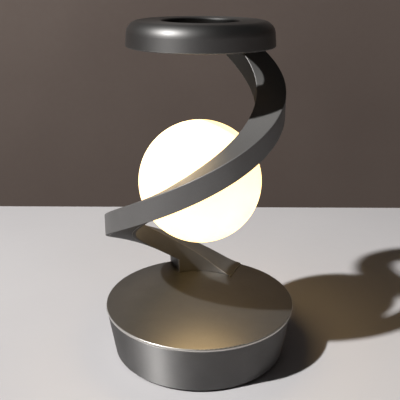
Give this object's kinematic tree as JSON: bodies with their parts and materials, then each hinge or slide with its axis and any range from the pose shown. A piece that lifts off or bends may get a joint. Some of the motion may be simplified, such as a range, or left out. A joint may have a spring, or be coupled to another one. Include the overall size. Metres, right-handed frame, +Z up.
{
  "type": "rotating led lamp",
  "caption": "Rotating table lamp: a lit opal globe held inside a rising spiral arm under a flat ring, all turning on a round tapered base with a motor, gears and a rechargeable cell.",
  "frame": {"origin": "on the table under the centre of the base, where the turning axis meets the table", "axes": "+Z up along the turning axis, -Y to the front as pictured, +Y to the back with the inlet and the button"},
  "size_m": [0.1, 0.1, 0.1724],
  "materials": {
    "body_paint": "satin gunmetal paint on moulded ABS",
    "dark_plastic": "fine moulded grain",
    "rubber": "matt",
    "steel": "zinc plated",
    "cell_wrap": "foil pouch",
    "circuit_board": "solder mask",
    "white_board": "white solder mask",
    "led_chip": "phosphor",
    "bronze": "sintered",
    "copper": "bare",
    "nylon": "natural",
    "opal": "opal diffuser, lit warm white",
    "lead_jacket": "soft insulation"
  },
  "bodies": {
    "base": {"base_housing": "body_paint", "bottom_cover": "dark_plastic", "foot_ring": "rubber", "cover_screws": "steel", "cell": "cell_wrap", "main_board": "circuit_board", "board_screws": "steel", "charging_inlet": "steel", "push_switch": "dark_plastic", "gear_motor": "steel", "motor_screws": "steel", "spindle_bush": "bronze", "thrust_washer": "nylon", "brush_block": "dark_plastic", "brushes": "copper"},
    "button": {"power_button": "dark_plastic", "switch_plunger": "nylon"},
    "motor_pinion": {"motor_shaft": "steel", "pinion": "nylon"},
    "turning_head": {"turntable": "body_paint", "spindle": "steel", "driven_gear": "nylon", "gear_screws": "steel", "retaining_clip": "steel", "slip_ring": "circuit_board", "slip_ring_tracks": "copper", "spiral_arm": "body_paint", "arm_strip": "body_paint", "foot_screws": "steel", "lamp_lead": "lead_jacket", "lamp_holder": "nylon", "led_board": "white_board", "leds": "led_chip", "globe_arm_half": "opal", "globe_outer_half": "opal", "ring_plate": "dark_plastic", "arm_top_screws": "steel", "top_ring": "body_paint", "ring_screws": "steel"}
  },
  "joints": [
    {"name": "head_turn", "type": "hinge", "parent": "base", "child": "turning_head", "pos_m": [0, 0, 0.0167], "axis": [0, 0, 1], "continuous": true},
    {"name": "pinion_spin", "type": "hinge", "parent": "base", "child": "motor_pinion", "pos_m": [0.0288, 0, 0.0167], "axis": [0, 0, 1], "continuous": true},
    {"name": "button_press", "type": "slide", "parent": "base", "child": "button", "axis": [0, -1, 0], "range_m": [0, 0.0006], "stiffness_N_per_m": 800}
  ],
  "couplings": [
    {"joint": "pinion_spin", "follows": "head_turn", "ratio": -3}
  ]
}
